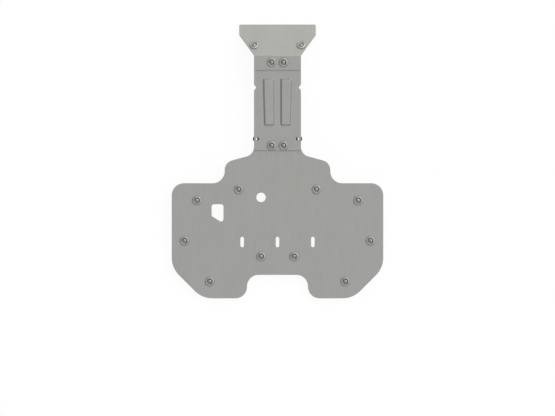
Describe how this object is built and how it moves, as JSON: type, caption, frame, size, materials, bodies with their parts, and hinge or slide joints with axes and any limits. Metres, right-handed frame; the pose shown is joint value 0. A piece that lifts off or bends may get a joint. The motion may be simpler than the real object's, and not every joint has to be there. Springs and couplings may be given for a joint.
{
  "type": "quad bike skid plate",
  "caption": "Belly skid plate of a quad bike: lapped aluminium plates with a tilted front panel, pressed ribs, service openings and recessed bolts.",
  "frame": {"origin": "under the middle of the bounding box, level with the lowest edge of the front lip", "axes": "+Z out of the ground side of the plate, where the bolt heads are, +Y towards the front of the vehicle, +X towards the left of the vehicle. The plate lies on its back."},
  "size_m": [0.8456, 1.0964, 0.0891],
  "materials": {
    "plate": "milled sheet, fine grain, satin",
    "washer": "pressed and zinc plated, satin",
    "bolt": "stainless, satin",
    "nut": "zinc plated, satin",
    "black_coat": "black powder coat on steel"
  },
  "bodies": {
    "root": {"main_plate": "plate", "mid_plate": "plate", "front_plate": "plate", "cross_bracket": "black_coat", "cup_washer_shoulder_left": "washer", "bolt_shoulder_left": "bolt", "cup_washer_shoulder_right": "washer", "bolt_shoulder_right": "bolt", "cup_washer_wing_front_left": "washer", "bolt_wing_front_left": "bolt", "cup_washer_wing_front_right": "washer", "bolt_wing_front_right": "bolt", "cup_washer_wing_side_left": "washer", "bolt_wing_side_left": "bolt", "cup_washer_wing_side_right": "washer", "bolt_wing_side_right": "bolt", "cup_washer_notch_left": "washer", "bolt_notch_left": "bolt", "cup_washer_notch_right": "washer", "bolt_notch_right": "bolt", "cup_washer_rear_left": "washer", "bolt_rear_left": "bolt", "cup_washer_rear_right": "washer", "bolt_rear_right": "bolt", "cup_washer_rear_lap_left": "washer", "bolt_rear_lap_left": "bolt", "cup_washer_rear_lap_right": "washer", "bolt_rear_lap_right": "bolt", "cup_washer_front_lap_left": "washer", "bolt_front_lap_left": "bolt", "cup_washer_front_lap_right": "washer", "bolt_front_lap_right": "bolt", "cup_washer_panel_left": "washer", "bolt_panel_left": "bolt", "cup_washer_panel_right": "washer", "bolt_panel_right": "bolt", "flange_nut_rear_lap_left": "nut", "flange_nut_rear_lap_right": "nut", "flange_nut_front_lap_left": "nut", "flange_nut_front_lap_right": "nut"}
  },
  "joints": []
}
